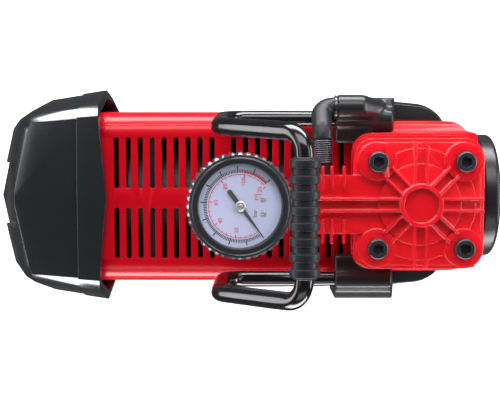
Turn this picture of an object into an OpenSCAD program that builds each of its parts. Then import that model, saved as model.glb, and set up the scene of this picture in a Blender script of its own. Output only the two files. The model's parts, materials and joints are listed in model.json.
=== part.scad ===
// Portable tyre compressor: a motor housing between a rear cap and a front base, a crankcase
// with a ribbed cylinder head, a gauge on the head's neck and a handle clamped over the top.
// Origin: middle of the footprint, on the ground. +X is the cylinder end, +Z is up.

/* [Housing] */
// Length of the motor housing between the rear cap and the crankcase
housing_l = 139; // [116:1:168]
// Width of the motor housing
housing_w = 92; // [84:1:112]
// Height of the housing's top above the ground
housing_top = 75.5; // [70:0.5:92]
// Height of the housing's underside above the ground
housing_bottom = 12; // [10:0.5:16]
// Wall of the housing
housing_wall = 2.4; // [1.6:0.1:3.2]
// Radius of the housing's long corners
housing_r = 12; // [8:0.5:16]
// Distance between vent slots
slot_pitch = 6.4; // [5.2:0.1:8]
// Width of a vent slot
slot_w = 2.7; // [1.6:0.1:3.4]

/* [Rear cap] */
// Length of the rear cap
cap_l = 58.7; // [50:0.1:72]
// How far the cap stands out past the housing on each side
cap_side = 11.5; // [8:0.5:14]
// Height of the cap's roof above the housing's top
cap_rise = 6.5; // [5:0.5:14]
// Wall of the cap
cap_wall = 2.6; // [1.8:0.1:3.6]
// How much the front collar stands proud of the rest of the cap
collar_step = 0.6; // [0:0.1:1]

/* [Crankcase] */
// Length of the crankcase
case_l = 62; // [56:0.5:74]
// Half width of the crankcase block at its foot
case_half_w = 41; // [38:0.5:44]
// Height of the crank chamber's axis above the motor's axis
chamber_rise = 8.25; // [6:0.25:10]
// Radius of the crank chamber
chamber_r = 29; // [28:0.5:34]
// Wall of the crank chamber
chamber_wall = 4; // [3:0.5:5]
// Length of the round front cover's flange
nose_l = 11.8; // [9:0.1:14]

/* [Cylinder] */
// Radius of the cylinder's bore
bore_r = 18; // [15:0.5:20]
// Wall of the cylinder's sleeve
sleeve_wall = 2; // [1.5:0.1:2.5]
// Throw of the crank
crank_r = 9; // [7.5:0.1:11]
// Length of the connecting rod between its centres
rod_l = 44; // [43:0.5:53]
// Side of the cylinder head's plate
head_w = 65.6; // [62:0.2:72]
// Distance of each head screw from the cylinder's middle, along X and along Y
screw_reach = 21.5; // [20:0.5:23]

/* [Gauge] */
// Radius of the gauge's dial
dial_r = 20.4; // [17:0.1:24.4]
// Lean of the gauge towards the head
gauge_lean = 6; // [0:1:10]
// Depth of the gauge's case
gauge_d = 19; // [16:0.5:22]

/* [Handle] */
// Diameter of the handle's tube
tube_d = 8.5; // [7:0.1:10.2]
// Height of the grip's middle above the ground
grip_z = 191; // [170:1:210]
// Length of the rubber grip
grip_l = 53; // [44:1:63]
// Diameter of the grip's collars
grip_d = 15.7; // [14:0.1:18.8]

/* [Hose] */
// Diameter of the air hose
hose_d = 10.5; // [8:0.1:12.5]

/* [Feet] */
// Height of the rubber feet
foot_h = 2.5; // [1.5:0.1:3.5]

/* [Hidden] */
$fn = 64;
eps = 0.01;
hull_fn = 32;
run_gap = 0.04;       // running clearance of a shaft in its hole
air_gap = 0.6;        // between the turning core and the magnets
fit_gap = 0.2;        // between neighbours that are screwed together

// Stations along X
total_l = cap_l + housing_l + case_l + nose_l;
x_tail = -total_l / 2;
x_rim = x_tail + cap_l;
x_split = x_rim + housing_l;
x_case = x_split + case_l;
x_nose = x_case + nose_l;
x_seam = x_rim - 11.8;
x_cyl = x_case - 36.45;
tuck = 22;            // how far the housing runs on inside the cap

// Heights
axis_z = (housing_bottom + housing_top) / 2;
chamber_z = axis_z + chamber_rise;
pin_z = axis_z - crank_r;              // crank pin at the bottom of its circle
wrist_z = pin_z + rod_l;
crown_h = 8;                           // wrist pin to piston crown
deck_z = axis_z + crank_r + rod_l + crown_h + 0.25;
gasket_t = 0.8;
plate_t = 3.2;
head_z = deck_z + gasket_t + plate_t;
head_plate_t = 7;
head_top = head_z + head_plate_t;
boss_top = head_top + 5.5;
hub_top = head_top + 10;
rib_top = head_top + 7.5;

// Motor
can_wall = 2;
can_r = (housing_top - housing_bottom) / 2 - housing_wall - 1.35;
can_x0 = x_rim + 14;
can_l = housing_l - 35;
can_x1 = can_x0 + can_l;
magnet_t = 3.9;
core_r = can_r - can_wall - magnet_t - air_gap;
core_x0 = can_x0 + 18;
core_l = can_l - 47;
shaft_r = 4;
shaft_x0 = x_rim - 5;
bearing_r = 11;
bearing_w = 7;
rear_bearing_r = 8;
bearing_x0 = x_split - 1;
commutator_r = 9;
commutator_x0 = core_x0 + core_l + 8;
commutator_l = 14;

// Crankcase
barrel_z0 = deck_z - 12;
cover_x0 = x_case - 4.5;
cover_r = chamber_r + 4.6;

// Crank
disc_x0 = x_split + 8.5;
disc_t = 6;
disc_r = crank_r + 10;
pin_r = 4;
rod_t = 7;
rod_x0 = x_cyl - rod_t / 2;
rod_end_r = 8.5;
pin_stop = 0.4;       // the crank pin ends this far short of the rod
wrist_r = 3.5;
piston_r = bore_r - 0.05;
skirt_h = 8;
sleeve_z0 = axis_z + disc_r + 2;
sleeve_r = bore_r + sleeve_wall;

// Rear cap
cap_half = housing_w / 2 + cap_side;
crease_z = 55;
shoulder_z = housing_top - 0.5;
roof_z = housing_top + cap_rise;
eave_z = roof_z - 1.4;

// Front base and clamps
base_x0 = x_split - 6;
base_l = 59;
base_half = housing_w / 2 + 8.8;
base_top = 47;
base_arc_r = 21;
clamp_x0 = x_split - 14.3;
rail_y = housing_w / 2 - 3.5;
rail_z = housing_top + 7.5;
tube_r = tube_d / 2;

// Gauge
gauge_x = x_cyl - 89.2;
gauge_z = head_top + 14;
bezel_r = dial_r + 3.7;
knurl_r = bezel_r + 2.4;
neck_x0 = x_cyl - 55;
neck_half_w = 14.7;
neck_top = head_z + 9;
neck_axis_z = head_z + 3.8;
stem_r = 5;
stem_depth = 13;

// Hose
hose_r = hose_d / 2;
hose_x = neck_x0 + hose_r + 1.75;
hose_z = head_z - 3;
guard_y0 = neck_half_w + 4.6;
guard_l = 12.9;
port_y = rail_y + 6;
port_z = rail_z + 9.2;

// Outlet
foot_y = housing_w / 2 - 15;
outlet_y = -20;
outlet_z = 13;
outlet_x1 = x_nose - 3;
coupler_r = 5;
coupler_bore_r = 3.2;
sleeve_travel = 4;

black = [0.13, 0.14, 0.15];
red = [0.85, 0.02, 0.08];
steel = [0.7, 0.7, 0.72];

// ---- shared shapes ----

module along_x(x0, l) translate([x0, 0, 0]) rotate([90, 0, 90]) linear_extrude(l) children();

module x_rod(x0, l, r, y, z, bore = 0) translate([x0, y, z]) rotate([0, 90, 0]) difference() {
    cylinder(r = r, h = l);
    if (bore > 0) translate([0, 0, -1]) cylinder(r = bore, h = l + 2);
}

module rounded_rect(w, h, r) {
    square([w - 2 * r, h], center = true);
    square([w, h - 2 * r], center = true);
    for (x = [-1, 1], y = [-1, 1]) translate([x * (w / 2 - r), y * (h / 2 - r)]) circle(r = r);
}

module plate(x, w, l, r, z, t) translate([x, 0, z]) linear_extrude(t) rounded_rect(l, w, r);

// Cross-section of the housing, set in by some amount
module housing_section(inset) translate([0, axis_z])
    rounded_rect(housing_w - 2 * inset, housing_top - housing_bottom - 2 * inset, housing_r - inset);

module mirrored() {
    children();
    mirror([0, 1, 0]) children();
}

module four(reach_x, reach_y) for (x = [-1, 1], y = [-1, 1]) translate([x * reach_x, y * reach_y, 0])
    children();

// ---- swept tubes ----

function unit(v) = v / norm(v);
function turned(a, c, e, f, th) = c + (sin((1 - f) * th) * a + sin(f * th) * e) / sin(th);
function corner(a, p, b, r, n) =
    let (u = unit(a - p), v = unit(b - p), half = acos(u * v) / 2, t = r / tan(half),
         c = p + unit(u + v) * r / sin(half), s = p + u * t - c, e = p + v * t - c,
         th = 180 - 2 * half)
    [for (k = [0:n]) turned(s, c, e, k / n, th)];
// A path through corner points, each rounded to its own radius
function rounded_path(pts, radii, n) = concat([pts[0]],
    [for (i = [1:len(pts) - 2]) each corner(pts[i - 1], pts[i], pts[i + 1], radii[i - 1], n)],
    [pts[len(pts) - 1]]);
function tangents(p) = [for (i = [0:len(p) - 1])
    unit(p[min(i + 1, len(p) - 1)] - p[max(i - 1, 0)])];
function carried(n, t) = unit(n - (n * t) * t);
function normals(t, i, n) = i == len(t) ? [] :
    let (m = carried(n, t[i])) concat([m], normals(t, i + 1, m));

module swept_tube(path, r, sides, side_dir) {
    t = tangents(path);
    n = normals(t, 0, side_dir);
    points = [for (i = [0:len(path) - 1], k = [0:sides - 1])
        path[i] + r * (cos(k * 360 / sides) * n[i] + sin(k * 360 / sides) * cross(t[i], n[i]))];
    walls = [for (i = [0:len(path) - 2], k = [0:sides - 1])
        let (j = (k + 1) % sides)
        [i * sides + k, (i + 1) * sides + k, (i + 1) * sides + j, i * sides + j]];
    last = (len(path) - 1) * sides;
    polyhedron(points, concat(walls, [[for (k = [0:sides - 1]) k]],
        [[for (k = [sides - 1:-1:0]) last + k]]));
}

// ---- motor housing ----

module vent_slots() {
    slot_in = 5.2;
    slot_out = housing_w / 2 - 13.4;
    rear_slots = floor((housing_l * 0.4) / slot_pitch) + 1;
    front_start = housing_l * 0.5125;
    front_slots = floor((housing_l - 4 - front_start) / slot_pitch) + 1;
    starts = concat([for (i = [0:rear_slots - 1]) 8.5 + i * slot_pitch],
        [for (i = [0:front_slots - 1]) front_start + i * slot_pitch]);
    for (x = starts, side = [-1, 1]) translate([x_rim + x, side * (slot_in + slot_out) / 2])
        rounded_rect(slot_w, slot_out - slot_in, slot_w / 2 - eps);
}

module housing_shell() color(red) difference() {
    along_x(x_rim - tuck, housing_l + tuck) housing_section(0);
    along_x(x_rim - tuck - 1, housing_l + tuck + 2) housing_section(housing_wall);
    translate([0, 0, housing_top - housing_wall - 1]) linear_extrude(housing_wall + 2) vent_slots();
    // fine step lines along the shoulders
    mirrored() translate([x_rim - tuck - 1, housing_w / 2 - 7.6, housing_top - 1.0])
        cube([housing_l + tuck + 2, 0.6, 2]);
}

// ---- rear cap ----

// Half outlines of the cap: distance from the tail and distance in from the widest point
crease_line = [[4.7, 35.5], [8.2, 20.5], [11.7, 15.5], [18.7, 10.7], [30, 4.8], [50.3, 2.2]];
shoulder_line = [[12, 35.5], [15.5, 20.5], [18, 15], [22.7, 12]];
eave_line = [[15.7, 44.6], [18, 33], [20.2, 23], [22.6, 17]];

function half_line(pts, inset) = [for (p = pts) [x_tail + p[0] + inset, cap_half - p[1] - inset]];
function whole(tip, half, front_x, front_y, inset) = concat([[x_tail + tip + inset, 0]], half,
    [[front_x, front_y]], [[front_x, -front_y]],
    [for (i = [len(half) - 1:-1:0]) [half[i][0], -half[i][1]]]);

module cap_level(tip, pts, front_x, front_in, inset, z) translate([0, 0, z]) linear_extrude(eps)
    polygon(whole(tip, half_line(pts, inset), front_x, cap_half - front_in - inset, inset));

// The cap's outer form, set in by some amount and run on past its rim
module cap_form(inset, run_on = 0) hull() {
    rim = x_rim + run_on;
    floor_z = foot_h + max(inset, 0);
    cap_level(0, crease_line, rim - 2, 0, inset + 12, floor_z);
    cap_level(0, crease_line, rim, 0, inset + 3.9, floor_z + 16.5);
    cap_level(0, crease_line, rim + 1.2, 0, inset, crease_z);
    cap_level(9.2, shoulder_line, rim - 1, 7.8, inset, shoulder_z - inset / 2);
    cap_level(13.4, eave_line, rim - 0.5, 14.1, inset, eave_z - inset);
    translate([0, 0, roof_z - inset]) linear_extrude(eps) polygon([[x_tail + 12.9 + inset, 0],
        [rim + 3.6, -0.3], [rim + 3.6, 0.3]]);
}

pocket_y0 = -15.5;
pocket_y1 = 18.5;
pocket_x = x_tail + 13.6;
pocket_z0 = 50;
switch_z = 60;
gland_z = 22;         // height of the power cord's gland

module pocket_box(wall) translate([x_tail - 5, pocket_y0 - wall, pocket_z0 - wall])
    cube([pocket_x - x_tail + 5 + wall, pocket_y1 - pocket_y0 + 2 * wall,
        roof_z - pocket_z0 + 1 + wall]);

module rear_cover() color(black) difference() {
    union() {
        difference() {
            cap_form(0);
            cap_form(cap_wall, 12);
        }
        intersection() {
            cap_form(0);
            union() {
                pocket_box(2);
                x_rod(x_tail + 2, 6.6, 9, 0, gland_z);
                translate([x_seam - 2.5, -cap_half, 0]) cube([2.5, 2 * cap_half, roof_z]);
            }
        }
    }
    pocket_box(0);
    translate([pocket_x - 1, -10, switch_z - 6.5]) cube([4, 20, 13]);
    along_x(x_seam - 5, 10) housing_section(0);
    translate([x_seam, -cap_half - 1, 0]) cube([cap_l, 2 * cap_half + 2, roof_z + 1]);
    x_rod(x_tail - 2, 7.6, 6.5, 0, gland_z);
    x_rod(x_tail, 20, 5, 0, gland_z);
    cap_screw_places() cylinder(r = 1.6, h = 40);
}

module rear_collar() color(black) difference() {
    cap_form(-collar_step);
    cap_form(cap_wall, 12);
    translate([x_tail - 5, -cap_half - 2, 0]) cube([x_seam - x_tail + 5, 2 * cap_half + 4, roof_z + 2]);
}

module cap_screw_places() for (x = [x_tail + 34, x_seam - 6], y = [-18, 18]) translate([x, y, 0])
    children();

module cap_screws() color(steel) cap_screw_places() {
    translate([0, 0, foot_h - 1.2]) cylinder(r = 3.2, h = 1.2);
    translate([0, 0, foot_h - 0.2]) cylinder(r = 1.6, h = housing_bottom - foot_h + 0.2);
}

rocker_x = pocket_x + 2.5;
rocker_pin_r = 1.5;
module switch_body() color([0.08, 0.08, 0.09]) {
    difference() {
        union() {
            translate([pocket_x - 1.5, -12, switch_z - 8]) cube([1.5, 24, 16]);
            translate([pocket_x - eps, -10, switch_z - 6.5]) cube([16, 20, 13]);
        }
        translate([pocket_x - 4, -9.6, switch_z - 5.6]) cube([11, 19.2, 11.2]);
    }
    translate([rocker_x, 0, switch_z - 6]) cylinder(r = rocker_pin_r, h = 12);
}

// The rocker turns about an upright pin in the middle of its body
rocker_tilt = 8;
module rocker_switch() color([0.75, 0.02, 0.05]) translate([rocker_x, 0, switch_z - 5.3])
    rotate([0, 0, -rocker_tilt]) linear_extrude(10.6) difference() {
        polygon([[-4.6, -8.8], [-3.4, 0], [-4.6, 8.8], [-1, 8.8], [3, 1.6], [3, -1.6], [-1, -8.8]]);
        circle(r = rocker_pin_r + run_gap);
    }

module power_gland() color(black) {
    x_rod(x_tail + 1, 4.6, 6.4, 0, gland_z, 3);
    x_rod(x_tail + 5.5, 10, 5, 0, gland_z, 3);
}

// ---- motor ----

module motor_can() color(steel) {
    x_rod(can_x0, can_l, can_r, 0, axis_z, can_r - can_wall);
    difference() {
        union() {
            x_rod(can_x0, 2.5, can_r - can_wall + eps, 0, axis_z);
            x_rod(can_x0 - 4, 7, rear_bearing_r + 2.5, 0, axis_z);
        }
        x_rod(can_x0 - 5, 9, rear_bearing_r, 0, axis_z);
    }
}

module rear_bearing() color(steel) x_rod(can_x0 - 4, 7, rear_bearing_r, 0, axis_z, shaft_r + run_gap);

module front_bearing() color(steel)
    x_rod(bearing_x0, bearing_w, bearing_r, 0, axis_z, shaft_r + run_gap);

module magnets() color([0.3, 0.3, 0.32]) difference() {
    x_rod(core_x0 - 3, core_l + 6, can_r - can_wall, 0, axis_z, can_r - can_wall - magnet_t);
    translate([core_x0 - 4, -4, axis_z - can_r]) cube([core_l + 8, 8, 2 * can_r]);
}

module armature() color([0.45, 0.45, 0.47]) translate([core_x0, 0, axis_z]) rotate([90, 0, 90])
    linear_extrude(core_l) difference() {
        circle(r = core_r);
        circle(r = shaft_r);
        for (a = [0:30:330]) rotate(a) translate([core_r - 7, -1]) square([8, 2]);
    }

module windings() color([0.72, 0.42, 0.2]) {
    x_rod(core_x0 - 7, 7, core_r - 3, 0, axis_z, shaft_r);
    x_rod(core_x0 + core_l, 7, core_r - 3, 0, axis_z, shaft_r);
}

module commutator() color([0.75, 0.5, 0.3])
    x_rod(commutator_x0, commutator_l, commutator_r, 0, axis_z, shaft_r);

module motor_shaft() color(steel) x_rod(shaft_x0, disc_x0 + disc_t - shaft_x0, shaft_r, 0, axis_z);

module cooling_fan() color(black) {
    fan_x0 = shaft_x0 + 1;
    x_rod(fan_x0, 9, shaft_r + 3, 0, axis_z, shaft_r);
    for (a = [0:40:320]) translate([fan_x0 + 4.5, 0, axis_z]) rotate([a, 0, 0])
        translate([0, 0, shaft_r + 2]) rotate([0, 0, 30]) translate([-4, -0.6, 0])
            cube([8, 1.2, can_r - 6 - shaft_r - 2]);
}

module brush_box(grow) mirrored() translate([commutator_x0 + 3 - grow, commutator_r + 0.3, axis_z - 3 - grow])
    cube([7 + 2 * grow, 9 + grow, 6 + 2 * grow]);

module brushes() color([0.2, 0.2, 0.2]) brush_box(0);

module brush_holder() color([0.6, 0.5, 0.3]) difference() {
    union() {
        x_rod(commutator_x0 + 11, 3, can_r - can_wall, 0, axis_z, commutator_r + 1);
        intersection() {
            brush_box(1.5);
            x_rod(commutator_x0, 12, can_r - can_wall, 0, axis_z, commutator_r + 1);
        }
    }
    brush_box(0);
}

module end_bell() color(steel) difference() {
    x_rod(can_x1, 6, can_r, 0, axis_z, shaft_r + 3);
    for (a = [45:90:315]) translate([can_x1 - 1, 0, axis_z]) rotate([a, 0, 0])
        translate([0, 0, can_r - 10]) rotate([0, 90, 0]) cylinder(r = 4, h = 8);
}

module motor_cradles() color(black) for (x = [can_x0 + 10, can_x1 - 15]) difference() {
    along_x(x, 5) housing_section(housing_wall);
    x_rod(x - 1, 7, can_r, 0, axis_z);
}

// ---- crankcase ----

module case_plan(grow) translate([(x_split + 4 + x_case - 3) / 2, 0])
    rounded_rect(x_case - 7 - x_split + 2 * grow, 2 * (case_half_w + grow), 10);

// Half of the block's outline: a wall, a shelf and the slope up to the barrel
function case_side(s, grow) = let (half = case_half_w + grow,
    up = [[half, 62], [half - 1.5, 66 + grow], [half - 5, 68 + grow], [half - 6, barrel_z0 + grow]])
    s > 0 ? up : [for (i = [3:-1:0]) [-up[i][0], up[i][1]]];

module case_block(grow) intersection() {
    along_x(x_split - 2, case_l + 6) polygon([[-case_half_w - grow, base_top], [case_half_w + grow, base_top],
        each case_side(1, grow), each case_side(-1, grow)]);
    translate([0, 0, base_top]) linear_extrude(deck_z) case_plan(grow);
}

module crankcase() color(red) difference() {
    union() {
        case_block(0);
        along_x(x_split, 4) housing_section(0);
        x_rod(x_split, cover_x0 - x_split, chamber_r + chamber_wall, 0, chamber_z);
        x_rod(x_split - 4, 12, bearing_r + 4, 0, axis_z);
    }
    x_rod(x_split + 8, case_l, chamber_r, 0, chamber_z);
    x_rod(cover_x0, case_l, cover_r - 0.7, 0, chamber_z);
    x_rod(x_split - 5, 14, 8, 0, axis_z);
    x_rod(x_split - 5, 11, bearing_r, 0, axis_z);
    translate([x_cyl, 0, sleeve_z0]) cylinder(r = sleeve_r, h = deck_z);
}

// The cylinder barrel with its cooling fins, on top of the crankcase
module cylinder_barrel() color(red) difference() {
    union() {
        plate(x_cyl, 2 * case_half_w - 20, head_w - 6, 9, barrel_z0, deck_z - barrel_z0);
        plate(x_cyl, 2 * case_half_w - 11.6, head_w - 1, 10, deck_z - 10.5, 2);
        plate(x_cyl, 2 * case_half_w - 13.6, head_w - 1, 10, deck_z - 6, 2);
        plate(x_cyl, head_w, head_w, 10, deck_z - 2, 2);
    }
    translate([x_cyl, 0, barrel_z0 - 1]) cylinder(r = sleeve_r, h = deck_z);
    translate([x_cyl, 0, deck_z - 10]) four(screw_reach, screw_reach) cylinder(r = 3, h = 20);
}

module front_cover() color(black) difference() {
    union() {
        x_rod(cover_x0, 9, cover_r - 0.9, 0, chamber_z);
        translate([cover_x0 + 8, 0, chamber_z]) rotate([0, 90, 0]) rotate_extrude() cover_profile();
    }
    x_rod(cover_x0 - 1, 9, chamber_r, 0, chamber_z);
}

cover_t = x_nose - cover_x0 - 8;
cover_round = 3;
module cover_profile() {
    square([cover_r - cover_round, cover_t - 1.2]);
    square([cover_r, cover_t - cover_round]);
    translate([cover_r - cover_round - 4, 0]) square([4, cover_t]);
    translate([cover_r - cover_round, cover_t - cover_round]) circle(r = cover_round);
}

module cover_screws() color(steel) for (a = [45:90:315]) translate([x_nose - 1.2, 0, chamber_z])
    rotate([a, 0, 0]) translate([0, 0, chamber_r - 7]) rotate([0, 90, 0]) difference() {
        cylinder(r = 3, h = 1.1);
        translate([0, 0, 0.5]) cylinder(r = 1.5, h = 1, $fn = 6);
    }

// ---- crank, rod and piston ----

module crank_disc() color([0.5, 0.5, 0.52]) translate([disc_x0, 0, axis_z]) rotate([90, 0, 90])
    linear_extrude(disc_t) difference() {
        union() {
            intersection() {
                circle(r = disc_r);
                translate([-disc_r, 2]) square([2 * disc_r, disc_r]);
            }
            circle(r = 10);
            translate([0, -crank_r]) circle(r = pin_r + 4);
            translate([-pin_r - 4, -crank_r]) square([2 * pin_r + 8, crank_r]);
        }
        circle(r = shaft_r);
        translate([0, -crank_r]) circle(r = pin_r);
    }

module crank_pin() color(steel) x_rod(disc_x0, rod_x0 - pin_stop - disc_x0, pin_r, 0, pin_z);

module connecting_rod() color([0.75, 0.76, 0.78]) difference() {
    union() {
        x_rod(rod_x0, rod_t, rod_end_r, 0, pin_z);
        x_rod(rod_x0, rod_t, wrist_r + 2.7, 0, wrist_z);
        translate([rod_x0 + 1, -4, pin_z]) cube([rod_t - 2, 8, rod_l]);
    }
    x_rod(rod_x0 - 1, rod_t + 2, pin_r + run_gap, 0, pin_z);
    x_rod(rod_x0 - 1, rod_t + 2, wrist_r + run_gap, 0, wrist_z);
}

module wrist_pin() color(steel) x_rod(x_cyl - 13, 26, wrist_r, 0, wrist_z);

module piston() color([0.72, 0.73, 0.75]) difference() {
    translate([x_cyl, 0, wrist_z - skirt_h]) cylinder(r = piston_r, h = skirt_h + crown_h);
    translate([x_cyl, 0, wrist_z - skirt_h - 1]) intersection() {
        cylinder(r = piston_r - 3, h = skirt_h + 5);
        translate([-rod_t / 2 - 1, -bore_r, 0]) cube([rod_t + 2, 2 * bore_r, skirt_h + 7.2]);
    }
    translate([x_cyl, 0, wrist_z - skirt_h - 1]) intersection() {
        cylinder(r = 10, h = skirt_h + crown_h - 0.5);
        translate([-rod_t / 2 - 1, -10, 0]) cube([rod_t + 2, 20, 30]);
    }
    x_rod(x_cyl - 13, 26, wrist_r, 0, wrist_z);
    translate([x_cyl, 0, wrist_z + crown_h - 4]) difference() {
        cylinder(r = piston_r + 1, h = 2.4);
        translate([0, 0, -1]) cylinder(r = piston_r - 2, h = 5);
    }
}

module piston_seal() color([0.1, 0.1, 0.1]) translate([x_cyl, 0, wrist_z + crown_h - 4]) difference() {
    cylinder(r = bore_r - 0.03, h = 2.4);
    translate([0, 0, -1]) cylinder(r = piston_r - 2, h = 5);
}

module cylinder_sleeve() color(steel) translate([x_cyl, 0, sleeve_z0]) difference() {
    cylinder(r = sleeve_r, h = deck_z - sleeve_z0);
    translate([0, 0, -1]) cylinder(r = bore_r, h = deck_z);
}

module stack_holes() {
    translate([x_cyl, 0, deck_z - 20]) four(screw_reach, screw_reach) cylinder(r = 3.2, h = 60);
}

module head_gasket() color([0.15, 0.15, 0.15]) difference() {
    plate(x_cyl, head_w - 2, head_w - 2, 9, deck_z, gasket_t);
    translate([x_cyl, 0, deck_z - 1]) cylinder(r = bore_r, h = 5);
    stack_holes();
}

module valve_plate() color(steel) difference() {
    plate(x_cyl, head_w - 2, head_w - 2, 9, deck_z + gasket_t, plate_t);
    for (y = [-8, 8]) translate([x_cyl, y, deck_z]) cylinder(r = 2.4, h = 8);
    stack_holes();
}

module reed_valves() color(steel) {
    translate([x_cyl - 4, -14, deck_z + gasket_t - 0.4]) cube([8, 18, 0.4]);
    translate([x_cyl - 4, -4, head_z]) cube([8, 18, 0.4]);
}

// ---- cylinder head ----

rib_t = 1.3;
rib_off = 2.9;
hub_r = 10.6;

module head_rib(angle, l, top) rotate(angle) for (side = [-1, 1])
    translate([hub_r - 1.2, side * rib_off - rib_t / 2, 0]) cube([l - hub_r + 1.2, rib_t, top]);

module cylinder_head() color(red) difference() {
    union() {
        plate(x_cyl, head_w, head_w, 10, head_z, head_plate_t - 2);
        plate(x_cyl, head_w - 4, head_w - 4, 8.5, head_z, head_plate_t);
        translate([x_cyl, 0, head_z]) {
            cylinder(r = 28, h = head_plate_t + 1.8);
            cylinder(r = 20.5, h = head_plate_t + 3.4);
            cylinder(r = hub_r, h = hub_top - head_z);
            four(screw_reach, screw_reach) cylinder(r = 9.6, h = boss_top - head_z);
            for (a = [0:90:270]) head_rib(a, head_w / 2 - 1.5, rib_top - head_z - 1);
            for (a = [45:90:315]) head_rib(a, screw_reach * sqrt(2) - 7, rib_top - head_z - 1);
        }
        // neck with its lengthwise ribs and side fins
        translate([neck_x0, -neck_half_w, hose_z - hose_r - 1.3])
            cube([x_cyl - head_w / 2 - 3 - neck_x0, 2 * neck_half_w, neck_top - hose_z + hose_r + 1.3]);
        translate([neck_x0, -neck_half_w, head_z]) cube([x_cyl - 20 - neck_x0, 2 * neck_half_w, neck_top - head_z]);
        mirrored() {
            translate([neck_x0, rib_off - rib_t / 2, head_z]) cube([x_cyl - 10 - neck_x0, rib_t, rib_top - head_z - 1]);
            for (x = [5.9, 10.4, 16.4]) translate([neck_x0 + x, 7.3, hose_z + hose_r + 1.3])
                cube([rib_t, 11.9, neck_top + 3 - hose_z - hose_r - 1.3]);
        }
    }
    translate([x_cyl, 0, rib_top - 1]) cylinder(r = hub_r - 1.9, h = 20);
    // outlet chamber and its passage to the neck
    translate([x_cyl, 0, head_z - 1]) cylinder(r = 19, h = 6);
    x_rod(neck_x0 - 1, x_cyl - neck_x0, 3, 0, neck_axis_z - 1);
    x_rod(neck_x0 - 1, 9, stem_r - 0.5, 0, neck_axis_z);
    translate([hose_x, 8, hose_z]) rotate([-90, 0, 0]) cylinder(r = 4.2, h = 20);
    translate([hose_x, 6, hose_z]) cylinder(r = 2, h = neck_axis_z - hose_z);
    stack_holes();
}

module head_screws() color([0.1, 0.1, 0.11]) translate([x_cyl, 0, 0]) four(screw_reach, screw_reach) {
    translate([0, 0, deck_z - 10]) cylinder(r = 3, h = boss_top - deck_z + 10);
    translate([0, 0, boss_top]) difference() {
        cylinder(r = 5, h = 5);
        translate([0, 0, 2]) cylinder(r = 2.9, h = 5, $fn = 6);
    }
}

// ---- hose ----

hose_path = rounded_path([[hose_x, guard_y0 + guard_l, hose_z], [hose_x, guard_y0 + guard_l + 4, hose_z],
    [hose_x, port_y, port_z], [clamp_x0 + 5, port_y, port_z]], [8, 7], 8);

module hose_fitting() color([0.75, 0.62, 0.3]) difference() {
    translate([hose_x, 8, hose_z]) rotate([-90, 0, 0]) cylinder(r = 4.2, h = guard_y0 - 8);
    translate([hose_x, 7, hose_z]) rotate([-90, 0, 0]) cylinder(r = 2, h = 20);
}

// A sleeve over the fitting with the turns of a spring round it
guard_turns = 12;
wire_r = 0.45;
module spring_guard() color(steel) translate([hose_x, guard_y0, hose_z]) rotate([-90, 0, 0]) {
    difference() {
        cylinder(r = hose_r - 0.8, h = guard_l);
        translate([0, 0, -1]) cylinder(r = 2, h = guard_l + 2);
    }
    for (i = [0:guard_turns - 1]) translate([0, 0, wire_r + i * (guard_l - 2 * wire_r) / (guard_turns - 1)])
        rotate_extrude() translate([hose_r - wire_r, 0]) circle(r = wire_r, $fn = 16);
}

module air_hose() color([0.12, 0.12, 0.13]) swept_tube(hose_path, hose_r, 20, [1, 0, 0]);

module hose_port() color(black) x_rod(clamp_x0 - 1, 1, hose_r + 0.9, port_y, port_z, hose_r + 0.1);

// ---- gauge ----

module at_gauge() translate([gauge_x, 0, gauge_z]) rotate([0, gauge_lean, 0]) children();

module gauge_case() color([0.15, 0.15, 0.16]) difference() {
    at_gauge() difference() {
        union() {
            translate([0, 0, -gauge_d]) cylinder(r = bezel_r - 0.1, h = gauge_d - 1);
            translate([0, 0, -gauge_d - 1.5]) cylinder(r1 = bezel_r - 3, r2 = bezel_r - 0.1, h = 1.5);
        }
        translate([0, 0, -gauge_d + 1]) cylinder(r = bezel_r - 2, h = gauge_d);
        stem_hole();
    }
}

module stem_hole() translate([bezel_r - 6, 0, -stem_depth]) rotate([0, 90, 0])
    cylinder(r = stem_r, h = 20);

module gauge_knurl() color([0.45, 0.47, 0.5]) at_gauge() translate([0, 0, -7.6]) linear_extrude(8.4) difference() {
    circle(r = knurl_r);
    circle(r = bezel_r);
    for (a = [0:9:351]) rotate(a) translate([knurl_r + 0.5, 0]) circle(r = 1.1, $fn = 16);
}

module gauge_bezel() color(black) at_gauge() translate([0, 0, -1]) difference() {
    cylinder(r = bezel_r - 0.05, h = 2.6);
    translate([0, 0, -1]) cylinder(r = dial_r, h = 6);
}

module gauge_dial() color([0.93, 0.94, 0.98]) at_gauge() translate([0, 0, -3]) difference() {
    cylinder(r = dial_r + 1.6, h = 0.8);
    translate([0, 0, -1]) cylinder(r = 1.6, h = 4);
}

module gauge_lens() color([0.9, 0.95, 1, 0.3]) at_gauge() cylinder(r = dial_r - 0.05, h = 0.9);

needle_zero = -54;    // where the needle points at no pressure, from +X
module gauge_needle() color([0.05, 0.05, 0.05]) at_gauge() translate([0, 0, -1.5]) rotate(needle_zero)
    linear_extrude(0.5) difference() {
        polygon([[-8, -1.6], [-2, -1.2], [dial_r - 3, -0.3], [dial_r - 3, 0.3], [-2, 1.2], [-8, 1.6]]);
        circle(r = 1);
    }

module needle_hub() color(steel) at_gauge() {
    translate([0, 0, -8]) cylinder(r = 1, h = 7);
    translate([0, 0, -1]) cylinder(r = 2.6, h = 0.7);
}

module dial_screws() color(steel) at_gauge() for (y = [3.2, -4])
    translate([11.4, y, -2.2]) cylinder(r = 1.6, h = 0.5);

module bourdon_tube() color([0.75, 0.6, 0.3]) at_gauge() translate([0, 0, -stem_depth])
    rotate(20) rotate_extrude(angle = 270) translate([14, 0]) square([2, 5], center = true);

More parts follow.
